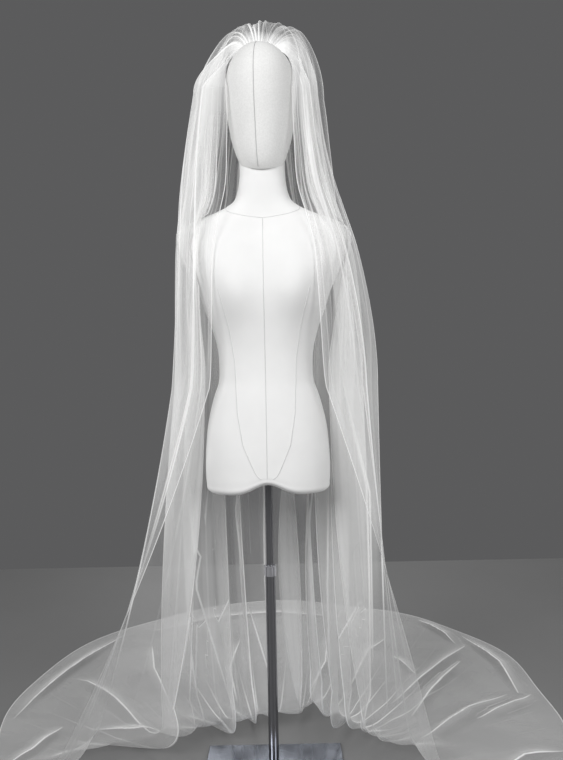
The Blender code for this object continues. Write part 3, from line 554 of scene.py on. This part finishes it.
def veil_grid():
    """The fold coordinate of each column of the sheet, and its rows from the comb to the hem."""
    q = np.append((np.arange(LAST)[:, None] + np.array(FOLD_STEPS)).ravel(), LAST)
    rows = [crown_row(q, (i / CROWN_ROWS) ** CROWN_SPREAD) for i in range(CROWN_ROWS)]
    rows += [fall_row(q, z) for z in np.linspace(RING_Z, BEND_Z, FALL_ROWS + 1)]
    rows += [bend_row(q, i / BEND_ROWS) for i in range(1, BEND_ROWS + 1)]
    shares = np.linspace(BEND_SHARE, 1, TRAIN_ROWS + 1)[1:]
    rows += [train_row(q, share) for share in shares]
    return q, np.array(rows)


def down_length(grid):
    """The length of the sheet from the comb down to each point."""
    return np.cumsum(np.linalg.norm(np.diff(grid, axis=0, prepend=grid[:1]), axis=-1), axis=0)


def rippled(q, grid):
    """The sheet with the uneven streaks that its gathers leave, a slack foot and a wavy hem."""
    z, run = grid[..., 2], down_length(grid)
    streaks = STREAK_HIGH * smooth((z - WAIST_Z) / STREAK_RISE) + STREAK
    wave = np.zeros_like(z)
    for turn, (low, high, share) in enumerate(STREAK_WAVES):
        drift = STREAK_DRIFT * waves(run[:, :1] * DRIFT_DOWN, SEED + turn, 3, 0.6, 1.6)
        wave += waves(q[None, :] + drift, SEED + 10 + turn, 4, low, high) * share
    wave *= smooth(run / STREAK_IN) * smooth((z - LIE) / STREAK_OUT)
    moved = grid + grid_normals(grid) * (wave * streaks)[..., None]
    floor_run = run - run[CROWN_ROWS + FALL_ROWS]
    slack = SLACK * np.exp(-((floor_run - SLACK_AT) / SLACK_WIDTH) ** 2)
    moved[..., 2] += slack * (1 + waves(q[None, :] + floor_run * SLACK_DOWN, SEED + 20, 4, 1.6, 4.0))
    swell = waves(grid[..., 0] * SWELL_ACROSS + grid[..., 1] * SWELL_ALONG, SEED + 30, 4, 0.6, 1.5)
    moved[..., 2] += SWELL * smooth(floor_run / SWELL_IN) * (1 + swell)
    hem_share = smooth((run - run[-1] + HEM_DEPTH) / HEM_DEPTH)
    out = unit(moved[-1:] - np.array([*OVAL_CENTRE, LIE]))
    return moved + out * (HEM_WAVE * hem_share * waves(q[None, :], SEED + 40, 4, 0.5, 1.4))[..., None]


def fold_spacing(q, grid):
    """At each point, the distance along its row from one fold line to the next."""
    across = np.cumsum(np.linalg.norm(np.diff(grid, axis=1, prepend=grid[:, :1]), axis=-1), axis=1)
    wide = np.gradient(across[:, ::len(FOLD_STEPS)], axis=1)
    return np.array([np.interp(q, np.arange(LAST + 1), row) for row in wide])


def fold_turns(q, grid):
    """How sharply the sheet turns at the nearest fold line, from 0 for flat to 1 for doubled back."""
    lines = grid[:, ::len(FOLD_STEPS)]
    steps = unit(np.diff(lines, axis=1))
    turns = np.full(lines.shape[:2], EDGE_TURN)
    turns[:, 1:-1] = (1 - np.sum(steps[:, 1:] * steps[:, :-1], axis=-1)) / 2
    return turns[:, np.round(q).astype(int)]


def new_mesh(name, points, faces, uv=None, values=None):
    mesh = bpy.data.meshes.new(name)
    mesh.from_pydata(np.asarray(points, float).tolist(), [], faces)
    mesh.update()
    if uv is not None:
        layer = mesh.uv_layers.new(name="cloth")
        index = np.empty(len(mesh.loops), dtype=int)
        mesh.loops.foreach_get("vertex_index", index)
        layer.data.foreach_set("uv", np.asarray(uv, np.float32)[index].ravel())
    for key, data in (values or {}).items():
        attribute = mesh.attributes.new(key, "FLOAT", "POINT")
        attribute.data.foreach_set("value", np.asarray(data, np.float32).ravel())
    mesh.shade_smooth()
    obj = bpy.data.objects.new(name, mesh)
    bpy.context.scene.collection.objects.link(obj)
    return obj


def grid_faces(rows, columns, closed=False):
    faces = []
    for r in range(rows - 1):
        for c in range(columns if closed else columns - 1):
            n = (c + 1) % columns
            faces.append((r * columns + c, r * columns + n, (r + 1) * columns + n, (r + 1) * columns + c))
    return faces


def veil():
    """The tulle, one sheet from the comb to the hem."""
    q, grid = veil_grid()
    spacing, turns = fold_spacing(q, grid), fold_turns(q, grid)
    grid, to_crease, crease = creased(q, rippled(q, grid))
    grid[..., 2] = np.maximum(grid[..., 2], LIE / 2)
    rows, columns = grid.shape[:2]
    down = down_length(grid)
    place = np.broadcast_to(q, (rows, columns))
    uv = np.stack([place / LAST * CUT_WIDTH, down], -1)
    values = {"fold_place": place, "fold_spacing": spacing, "fold_turn": turns, "down": down,
              "crease": crease, "to_crease": to_crease, "to_hem": down[-1:] - down}
    faces = grid_faces(rows, columns)
    return new_mesh("veil_sheet", grid.reshape(-1, 3), faces, uv.reshape(-1, 2), values)


def feed(tree, socket, value):
    if isinstance(value, bpy.types.NodeSocket):
        tree.links.new(value, socket)
    else:
        socket.default_value = value


def node(tree, kind, **inputs):
    """A new shader node, with plain values set and other nodes' sockets linked."""
    new = tree.nodes.new(kind)
    for key, value in inputs.items():
        if key in {"operation", "feature", "attribute_name", "noise_dimensions"}:
            setattr(new, key, value)
        else:
            feed(tree, new.inputs[int(key[1:]) if key[0] == "_" else key], value)
    return new


def math_node(tree, operation, a, b=0.0):
    return node(tree, "ShaderNodeMath", operation=operation, _0=a, _1=b).outputs[0]


def material(name):
    made = bpy.data.materials.new(name)
    made.use_nodes = True
    return made, made.node_tree, made.node_tree.nodes["Principled BSDF"]


def set_shader(tree, shader, **inputs):
    """The shader's inputs set or linked, with _ in their names for a space."""
    for key, value in inputs.items():
        feed(tree, shader.inputs[key.replace("_", " ")], value)


def position(tree):
    return tree.nodes.new("ShaderNodeTexCoord").outputs["Object"]


def noise(tree, vector, scale, detail=2.0, roughness=0.5):
    made = node(tree, "ShaderNodeTexNoise", Vector=vector, Scale=scale, Detail=detail, Roughness=roughness)
    return made.outputs["Fac"]


def random_by(tree, number):
    """A random value from 0 to 1 for each whole number."""
    return node(tree, "ShaderNodeTexWhiteNoise", noise_dimensions="1D", W=number).outputs["Value"]


def ramp(tree, value, low, high, out_low, out_high):
    made = node(tree, "ShaderNodeMapRange", Value=value)
    for key, number in (("From Min", low), ("From Max", high), ("To Min", out_low), ("To Max", out_high)):
        made.inputs[key].default_value = number
    return made.outputs["Result"]


def mixed(tree, factor, first, second):
    made = tree.nodes.new("ShaderNodeMix")
    made.data_type = "RGBA"
    for socket, value in ((made.inputs[0], factor), (made.inputs[6], first), (made.inputs[7], second)):
        feed(tree, socket, value)
    return made.outputs[2]


def bumped(tree, shader, height, strength, distance):
    made = node(tree, "ShaderNodeBump", Height=height, Strength=strength, Distance=distance)
    set_shader(tree, shader, Normal=made.outputs["Normal"])


def value_of(tree, name):
    return node(tree, "ShaderNodeAttribute", attribute_name=name).outputs["Fac"]


def total(tree, *values):
    result = values[0]
    for value in values[1:]:
        result = math_node(tree, "ADD", result, value)
    return result


def product(tree, *values):
    result = values[0]
    for value in values[1:]:
        result = math_node(tree, "MULTIPLY", result, value)
    return result


def streak_lines(tree, place, down, across, along, width):
    """Thin lines that run down the sheet and wander, meet and part, from 0 between them to 1."""
    vector = node(tree, "ShaderNodeCombineXYZ", X=product(tree, place, across), Y=product(tree, down, along))
    cloud = noise(tree, vector.outputs[0], 1.0, 1.0)
    off = math_node(tree, "ABSOLUTE", math_node(tree, "SUBTRACT", cloud, 0.5))
    return ramp(tree, off, 0.0, width, 1.0, 0.0)


def thread_by(tree, what, measure):
    return ramp(tree, measure, *THREAD[what])


def fold_thread(tree, place, down, to_hem):
    """Thread along the fold lines, most where the sheet turns sharply. In the crown only some show."""
    to_line = product(tree, math_node(tree, "PINGPONG", place, 0.5), value_of(tree, "fold_spacing"))
    chance = random_by(tree, math_node(tree, "ROUND", place))
    drawn = total(tree, thread_by(tree, "fold drawn", chance), thread_by(tree, "fold below", down))
    return product(tree, thread_by(tree, "fold line", to_line),
                   thread_by(tree, "fold turn", value_of(tree, "fold_turn")),
                   math_node(tree, "MINIMUM", drawn, 1.0), thread_by(tree, "fold lying", to_hem))


def gather_thread(tree, place, down):
    """Thread in the fine streaks that the gathers leave below the comb."""
    lines = [product(tree, streak_lines(tree, place, down, across, along, width), share)
             for across, along, width, share in STREAK_LINES]
    return product(tree, thread_by(tree, "gathers end", down),
                   thread_by(tree, "gathers", down), total(tree, *lines))


def panel_thread(tree, place, down, hanging):
    """Thread in the denser ones of the panels between fold lines, and in broad bands down them."""
    spread = node(tree, "ShaderNodeCombineXYZ", X=product(tree, place, BAND_ACROSS),
                  Y=product(tree, down, BAND_ALONG))
    band = thread_by(tree, "band", noise(tree, spread.outputs[0], 1.0, 2.0))
    band = product(tree, band, thread_by(tree, "band starts", down),
                   thread_by(tree, "band fades", down), hanging)
    chance = random_by(tree, math_node(tree, "FLOOR", place))
    return total(tree, band, product(tree, thread_by(tree, "panel", chance), hanging))


def side_thread(tree, place, down, hanging):
    """Thread at both sides, where the falls lie in layers, and beside the temples."""
    from_back = math_node(tree, "ABSOLUTE", math_node(tree, "SUBTRACT", place, LAST / 2))
    side = product(tree, thread_by(tree, "side", from_back),
                   thread_by(tree, "side ends", from_back), hanging,
                   thread_by(tree, "side starts", down))
    temple = product(tree, thread_by(tree, "temple", from_back),
                     thread_by(tree, "temple ends", down))
    return total(tree, side, temple)


def crease_thread(tree):
    """Thread in the line of each crease, and in the cloth that laps over on one side of it."""
    side, shows = value_of(tree, "to_crease"), value_of(tree, "crease")
    line = thread_by(tree, "crease line", math_node(tree, "ABSOLUTE", side))
    lap = product(tree, thread_by(tree, "lap", side), thread_by(tree, "lap ends", side))
    return product(tree, total(tree, line, lap), shows)


def net_thread(tree):
    """The net's cells, and how its thread is a little uneven over the cloth."""
    cover = tree.nodes.new("ShaderNodeUVMap").outputs["UV"]
    cells = node(tree, "ShaderNodeTexVoronoi", feature="DISTANCE_TO_EDGE", Vector=cover, Scale=CELLS,
                 Randomness=0.0)
    return total(tree, thread_by(tree, "cloud", noise(tree, cover, 5.0, 3.0)),
                 thread_by(tree, "cell", cells.outputs["Distance"]))


def tulle_material():
    """Fine net: the share of it that is thread rises as it is seen edge on, as in a real net, and
    along each fold and crease, where it lies double."""
    made, tree, shader = material("tulle_net")
    place, down, to_hem = (value_of(tree, name) for name in ("fold_place", "down", "to_hem"))
    hanging = thread_by(tree, "hanging", to_hem)
    thread = total(tree, thread_by(tree, "ground", down), side_thread(tree, place, down, hanging),
                   net_thread(tree), fold_thread(tree, place, down, to_hem),
                   panel_thread(tree, place, down, hanging), crease_thread(tree),
                   gather_thread(tree, place, down), thread_by(tree, "comb edge", down),
                   thread_by(tree, "hem", to_hem))
    thread = math_node(tree, "MAXIMUM", thread, LEAST_THREAD)
    thread = math_node(tree, "MINIMUM", thread, MOST_THREAD)
    weight = node(tree, "ShaderNodeLayerWeight", Blend=0.5).outputs["Facing"]
    slant = math_node(tree, "MAXIMUM", math_node(tree, "SUBTRACT", 1.0, weight), LEAST_SLANT)
    open_share = math_node(tree, "SUBTRACT", 1.0, thread)
    through = math_node(tree, "POWER", open_share, math_node(tree, "DIVIDE", 1.0, slant))
    alpha = math_node(tree, "SUBTRACT", 1.0, through)
    set_shader(tree, shader, Alpha=alpha, Base_Color=(0.95, 0.95, 0.945, 1), Roughness=0.55,
               Specular_IOR_Level=0.25, Sheen_Weight=0.15)
    return made


def jersey_material():
    made, tree, shader = material("torso_jersey")
    place = position(tree)
    broad = noise(tree, place, 9.0, 3.0)
    fine = noise(tree, place, 900.0, 2.0)
    tone = ramp(tree, broad, 0.35, 0.65, 0, 1)
    colour = mixed(tree, tone, (0.86, 0.86, 0.855, 1), (0.90, 0.90, 0.895, 1))
    set_shader(tree, shader, Base_Color=colour, Roughness=0.75, Sheen_Weight=0.2)
    bumped(tree, shader, fine, 0.25, 0.0004)
    return made


def linen_material():
    made, tree, shader = material("head_linen")
    place = position(tree)
    slub = noise(tree, place, 260.0, 4.0, 0.7)
    broad = noise(tree, place, 14.0, 3.0)
    tone = total(tree, ramp(tree, slub, 0.35, 0.68, 0.0, 0.7), ramp(tree, broad, 0.3, 0.7, 0.0, 0.3))
    colour = mixed(tree, tone, (0.78, 0.78, 0.77, 1), (0.90, 0.90, 0.89, 1))
    set_shader(tree, shader, Base_Color=colour, Roughness=0.85)
    bumped(tree, shader, slub, 0.5, 0.0006)
    return made


def thread_material(name, tone):
    made, tree, shader = material(name)
    twist = noise(tree, position(tree), 600.0, 2.0)
    dark = 0.9 * tone
    colour = mixed(tree, twist, (dark, dark, dark, 1), (tone, tone, tone, 1))
    set_shader(tree, shader, Base_Color=colour, Roughness=0.8)
    return made


def comb_material():
    made, tree, shader = material("comb_plastic")
    cloud = noise(tree, position(tree), 60.0, 2.0)
    set_shader(tree, shader, Roughness=ramp(tree, cloud, 0.3, 0.7, 0.18, 0.32),
               Base_Color=(0.80, 0.80, 0.79, 1), Transmission_Weight=0.35, IOR=1.49)
    return made


def chrome_material(name, tone):
    # The tone sets the chrome's lightness: a dark tone is a painted dark reflection, and a light tone is a
    # painted highlight.
    made, tree, shader = material(name)
    smear = noise(tree, position(tree), 35.0, 3.0)
    set_shader(tree, shader, Roughness=ramp(tree, smear, 0.3, 0.75, 0.08, 0.20),
               Base_Color=(tone, tone, 1.06 * tone, 1), Metallic=1.0)
    return made


def plate_material():
    made, tree, shader = material("plate_polish")
    place = position(tree)
    smear = noise(tree, place, 12.0, 4.0)
    scuff = noise(tree, place, 240.0, 3.0, 0.7)
    tone = ramp(tree, scuff, 0.4, 0.7, 0, 1)
    colour = mixed(tree, tone, (0.28, 0.30, 0.345, 1), (0.35, 0.37, 0.415, 1))
    set_shader(tree, shader, Roughness=ramp(tree, smear, 0.3, 0.75, 0.10, 0.24), Base_Color=colour,
               Metallic=0.9)
    return made


def stage_material(name, colour, roughness):
    made, tree, shader = material(name)
    cloud = noise(tree, position(tree), 1.6, 4.0)
    dark = tuple(0.93 * value for value in colour)
    tone = mixed(tree, ramp(tree, cloud, 0.3, 0.7, 0, 1), (*dark, 1), (*colour, 1))
    set_shader(tree, shader, Base_Color=tone, Roughness=roughness)
    return made


def between_rows(table, steps):
    """Heights that part each gap between a table's rows into equal steps, with its last row's."""
    z = table[:, 0]
    gaps = [np.linspace(low, high, steps, endpoint=False) for low, high in zip(z, z[1:])]
    return [*np.concatenate(gaps), z[-1]]


def lofted(name, rings, low, high, finish):
    """A closed skin over rings of points, with a middle point at each end."""
    count = len(rings[0])
    points = np.concatenate([np.concatenate(rings), [low, high]])
    faces = grid_faces(len(rings), count, closed=True)
    bottom, top = len(points) - 2, len(points) - 1
    start = (len(rings) - 1) * count
    faces += [(bottom, (c + 1) % count, c) for c in range(count)]
    faces += [(top, start + c, start + (c + 1) % count) for c in range(count)]
    piece = new_mesh(name, points, faces)
    piece.data.set_sharp_from_angle(angle=SHARP_ANGLE)
    piece.data.materials.append(finish)
    return piece


def leg_arch(x):
    return LEG_ARCH * np.exp(-(x / LEG_ARCH_WIDTH) ** 2)


def torso_surface(angle, z, grow=0.0):
    """A point of the torso at an angle from the back and a height in its tables."""
    half, front, back = np.moveaxis(table_at(TORSO, z), -1, 0)
    x, y = oval(angle, half + grow, half + grow, back + grow, front + grow, FORM_POWER)
    y = np.where(y < 0, y - bust(x, z) * np.abs(np.minimum(y, 0)) / front, y)
    arch = leg_arch(x) * (1 - smooth((z - TORSO[0, 0]) / LEG_ARCH_HEIGHT))
    tilt = NECK_TILT * y * smooth((z - TILT_FROM_Z) / (NECK_TOP_Z - TILT_FROM_Z))
    return np.stack(np.broadcast_arrays(x, y, z + arch + tilt), -1)


def torso_piece(finish):
    angles = np.linspace(0, -2 * math.pi, FORM_COLUMNS, endpoint=False)
    rings = []
    for share in UNDERSIDE_SHARES:
        half, front, back = table_at(TORSO, TORSO[0, 0])
        x, y = oval(angles, half * share, half * share, back * share, front * share, FORM_POWER)
        rings.append(np.stack([x, y, TORSO[0, 0] + leg_arch(x)], -1))
    rings += [torso_surface(angles, z) for z in between_rows(TORSO, FORM_STEPS)]
    return lofted("torso_cover", rings, (0, 0, TORSO[0, 0] + LEG_ARCH), (0, 0, NECK_TOP_Z), finish)


def head_point(angle, z, grow=0.0):
    """A point of the head at an angle from its back and a height in its table."""
    half, front, back = np.moveaxis(table_at(HEAD, z), -1, 0)
    across, deep = oval(angle, half + grow, half + grow, back + grow, front + grow, 1.0)
    x = across * math.cos(HEAD_TURN) - deep * math.sin(HEAD_TURN)
    y = deep * math.cos(HEAD_TURN) + across * math.sin(HEAD_TURN)
    tilt = NECK_TILT * (1 - smooth((z - NECK_TOP_Z) / TILT_IN_HEAD))
    return np.stack(np.broadcast_arrays(x, y, z + tilt * y + HEAD_LIFT), -1)


def head_piece(finish):
    angles = np.linspace(0, -2 * math.pi, HEAD_COLUMNS, endpoint=False)
    rings = [head_point(angles, z) for z in between_rows(HEAD, HEAD_STEPS)]
    return lofted("head_cover", rings, (0, 0, NECK_TOP_Z + HEAD_LIFT), (0, 0, HEAD_TOP_Z), finish)


def tube(name, path, radius, finish, sides=8):
    """A thin round cord along a path of points."""
    path = np.asarray(path, float)
    ahead = unit(np.gradient(path, axis=0))
    side = unit(np.cross(ahead, np.where(np.abs(ahead[:, 2:]) < 0.9, [[0, 0, 1.0]], [[0, 1.0, 0]])))
    over = np.cross(side, ahead)
    turn = np.linspace(0, 2 * math.pi, sides, endpoint=False)[None, :, None]
    rings = path[:, None] + radius * (side[:, None] * np.cos(turn) + over[:, None] * np.sin(turn))
    piece = new_mesh(name, rings.reshape(-1, 3), grid_faces(len(path), sides, closed=True))
    piece.data.materials.append(finish)
    return piece


def camera():
    data = bpy.data.cameras.new("camera")
    data.sensor_width = SENSOR
    data.lens = FOCAL_PX * SENSOR / FRAME_H
    obj = bpy.data.objects.new("camera", data)
    bpy.context.scene.collection.objects.link(obj)
    scale = CAMERA_BACK / FOCAL_PX
    obj.location = ((FRAME_W / 2 - AXIS_X_AT_CENTRE) * scale, -CAMERA_BACK, CAMERA_Z)
    down = math.atan((FRAME_H / 2 - HORIZON_Y) / FOCAL_PX)
    level = mathutils.Euler((math.pi / 2 - down, 0, 0)).to_matrix()
    obj.rotation_euler = (level @ mathutils.Matrix.Rotation(-ROLL, 3, "Z")).to_euler()
    bpy.context.scene.camera = obj


def area_light(name, place, aim, size, power):
    data = bpy.data.lights.new(name, "AREA")
    data.shape = "RECTANGLE"
    data.size, data.size_y = size
    data.energy = power
    obj = bpy.data.objects.new(name, data)
    obj.location = place
    away = mathutils.Vector(place) - mathutils.Vector(aim)
    obj.rotation_euler = away.to_track_quat("Z", "Y").to_euler()
    bpy.context.scene.collection.objects.link(obj)


def plane(name, corners, finish):
    obj = new_mesh(name, corners, [(0, 1, 2, 3)])
    obj.data.materials.append(finish)


def studio():
    floor = [(-FLOOR_HALF, -FLOOR_HALF, 0), (FLOOR_HALF, -FLOOR_HALF, 0), (FLOOR_HALF, FLOOR_BACK, 0),
             (-FLOOR_HALF, FLOOR_BACK, 0)]
    plane("floor", floor, stage_material("floor_pale", FLOOR_COLOUR, 0.6))
    world = bpy.data.worlds.new("studio")
    world.use_nodes = True
    world.node_tree.nodes["Background"].inputs["Color"].default_value = (*BACKDROP_COLOUR, 1)
    world.node_tree.nodes["Background"].inputs["Strength"].default_value = 1.0
    bpy.context.scene.world = world
    for name, place, aim, size, power in LIGHTS:
        area_light(name, place, aim, size, power)
    scene = bpy.context.scene
    scene.view_settings.view_transform = "Standard"
    scene.cycles.transparent_max_bounces = 64


def torso_front(x, z):
    """A point on the front of the torso, at a distance from its middle and a height."""
    half = table_at(TORSO, z)[0]
    angle = math.pi - math.asin(min(1.0, (abs(x) / half) ** (1 / FORM_POWER)))
    return torso_surface(math.copysign(angle, x), z, SEAM_LIFT)


def thread_tube(name, path, finish, radius=SEAM_R):
    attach(tube(name, path, radius, finish), "root")


def form_seams(finish, head_finish):
    """The seams sewn in the covers of the torso and head."""
    centre = [torso_front(1e-6, z) for z in np.linspace(*CENTRE_SEAM, 60)]
    thread_tube("seam_centre", centre, finish)
    z, x = np.array(PRINCESS)[::-1].T
    heights = np.linspace(z[0], z[-1], 60)
    outs = np.interp(heights, z, x)
    for side, word in ((-1, "left"), (1, "right")):
        princess = [torso_front(side * out, height) for out, height in zip(outs, heights)]
        thread_tube("seam_princess_" + word, princess, finish)
        shoulder = [torso_surface(side * SHOULDER_ANGLE, height, SEAM_LIFT)
                    for height in np.linspace(*SHOULDER_SEAM, 30)]
        thread_tube("seam_shoulder_" + word, shoulder, finish)
    turns = np.linspace(-math.pi, math.pi, 90)
    heights = NECK_SEAM_Z - NECK_SEAM_DIP * np.maximum(0, 2 * np.abs(turns) / math.pi - 1)
    neck = [torso_surface(turn, height, SEAM_LIFT) for turn, height in zip(turns, heights)]
    thread_tube("seam_neck", neck, finish)
    face = [head_point(math.pi, height, SEAM_LIFT) for height in np.linspace(*HEAD_SEAM, 60)]
    thread_tube("seam_head", face, head_finish)


def comb_stitches(finish):
    """The thread whipped round the comb's spine and the gathered edge."""
    share = np.linspace(0, 1, STITCHES * STITCH_STEPS + 1)
    x = (share - 0.5) * GATHER_WIDTH
    turn = share * STITCHES * 2 * math.pi
    z = np.array([head_surface(place, 0.0) for place in x]) + COMB_TOP - GATHER_LIFT
    path = np.stack([x, STITCH_DEEP * np.cos(turn), z + STITCH_HIGH * np.sin(turn)], -1)
    thread_tube("comb_stitches", path, finish, STITCH_R)


def main():
    camera()
    studio()
    sheet = veil()
    sheet.data.materials.append(tulle_material())
    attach(sheet, "root")
    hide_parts("tulle_crown", "tulle_fall_left", "tulle_fall_back", "tulle_fall_right", "tulle_train")

    torso = torso_piece(jersey_material())
    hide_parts("torso")
    head = head_piece(linen_material())
    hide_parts("head")
    for piece in (torso, head):
        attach(piece, "root")
    thread = thread_material("torso_thread", 0.76)
    form_seams(thread, thread_material("head_thread", 0.56))
    comb_stitches(thread)

    # One chrome in two tones: the pole and flange are set dark as a painted dark reflection, and the collar
    # is set light as a painted highlight.
    chrome = chrome_material("pole_chrome_painted_dark_reflection", 0.30)
    finishes = {
        "comb": comb_material(),
        "base_plate": plate_material(),
        "pole_upper": chrome,
        "pole_lower": chrome,
        "collar": chrome_material("collar_chrome_painted_highlight", 0.80),
        "flange": chrome,
    }
    for name, finish in finishes.items():
        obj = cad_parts[name]
        obj.data.materials.clear()
        obj.data.materials.append(finish)


main()
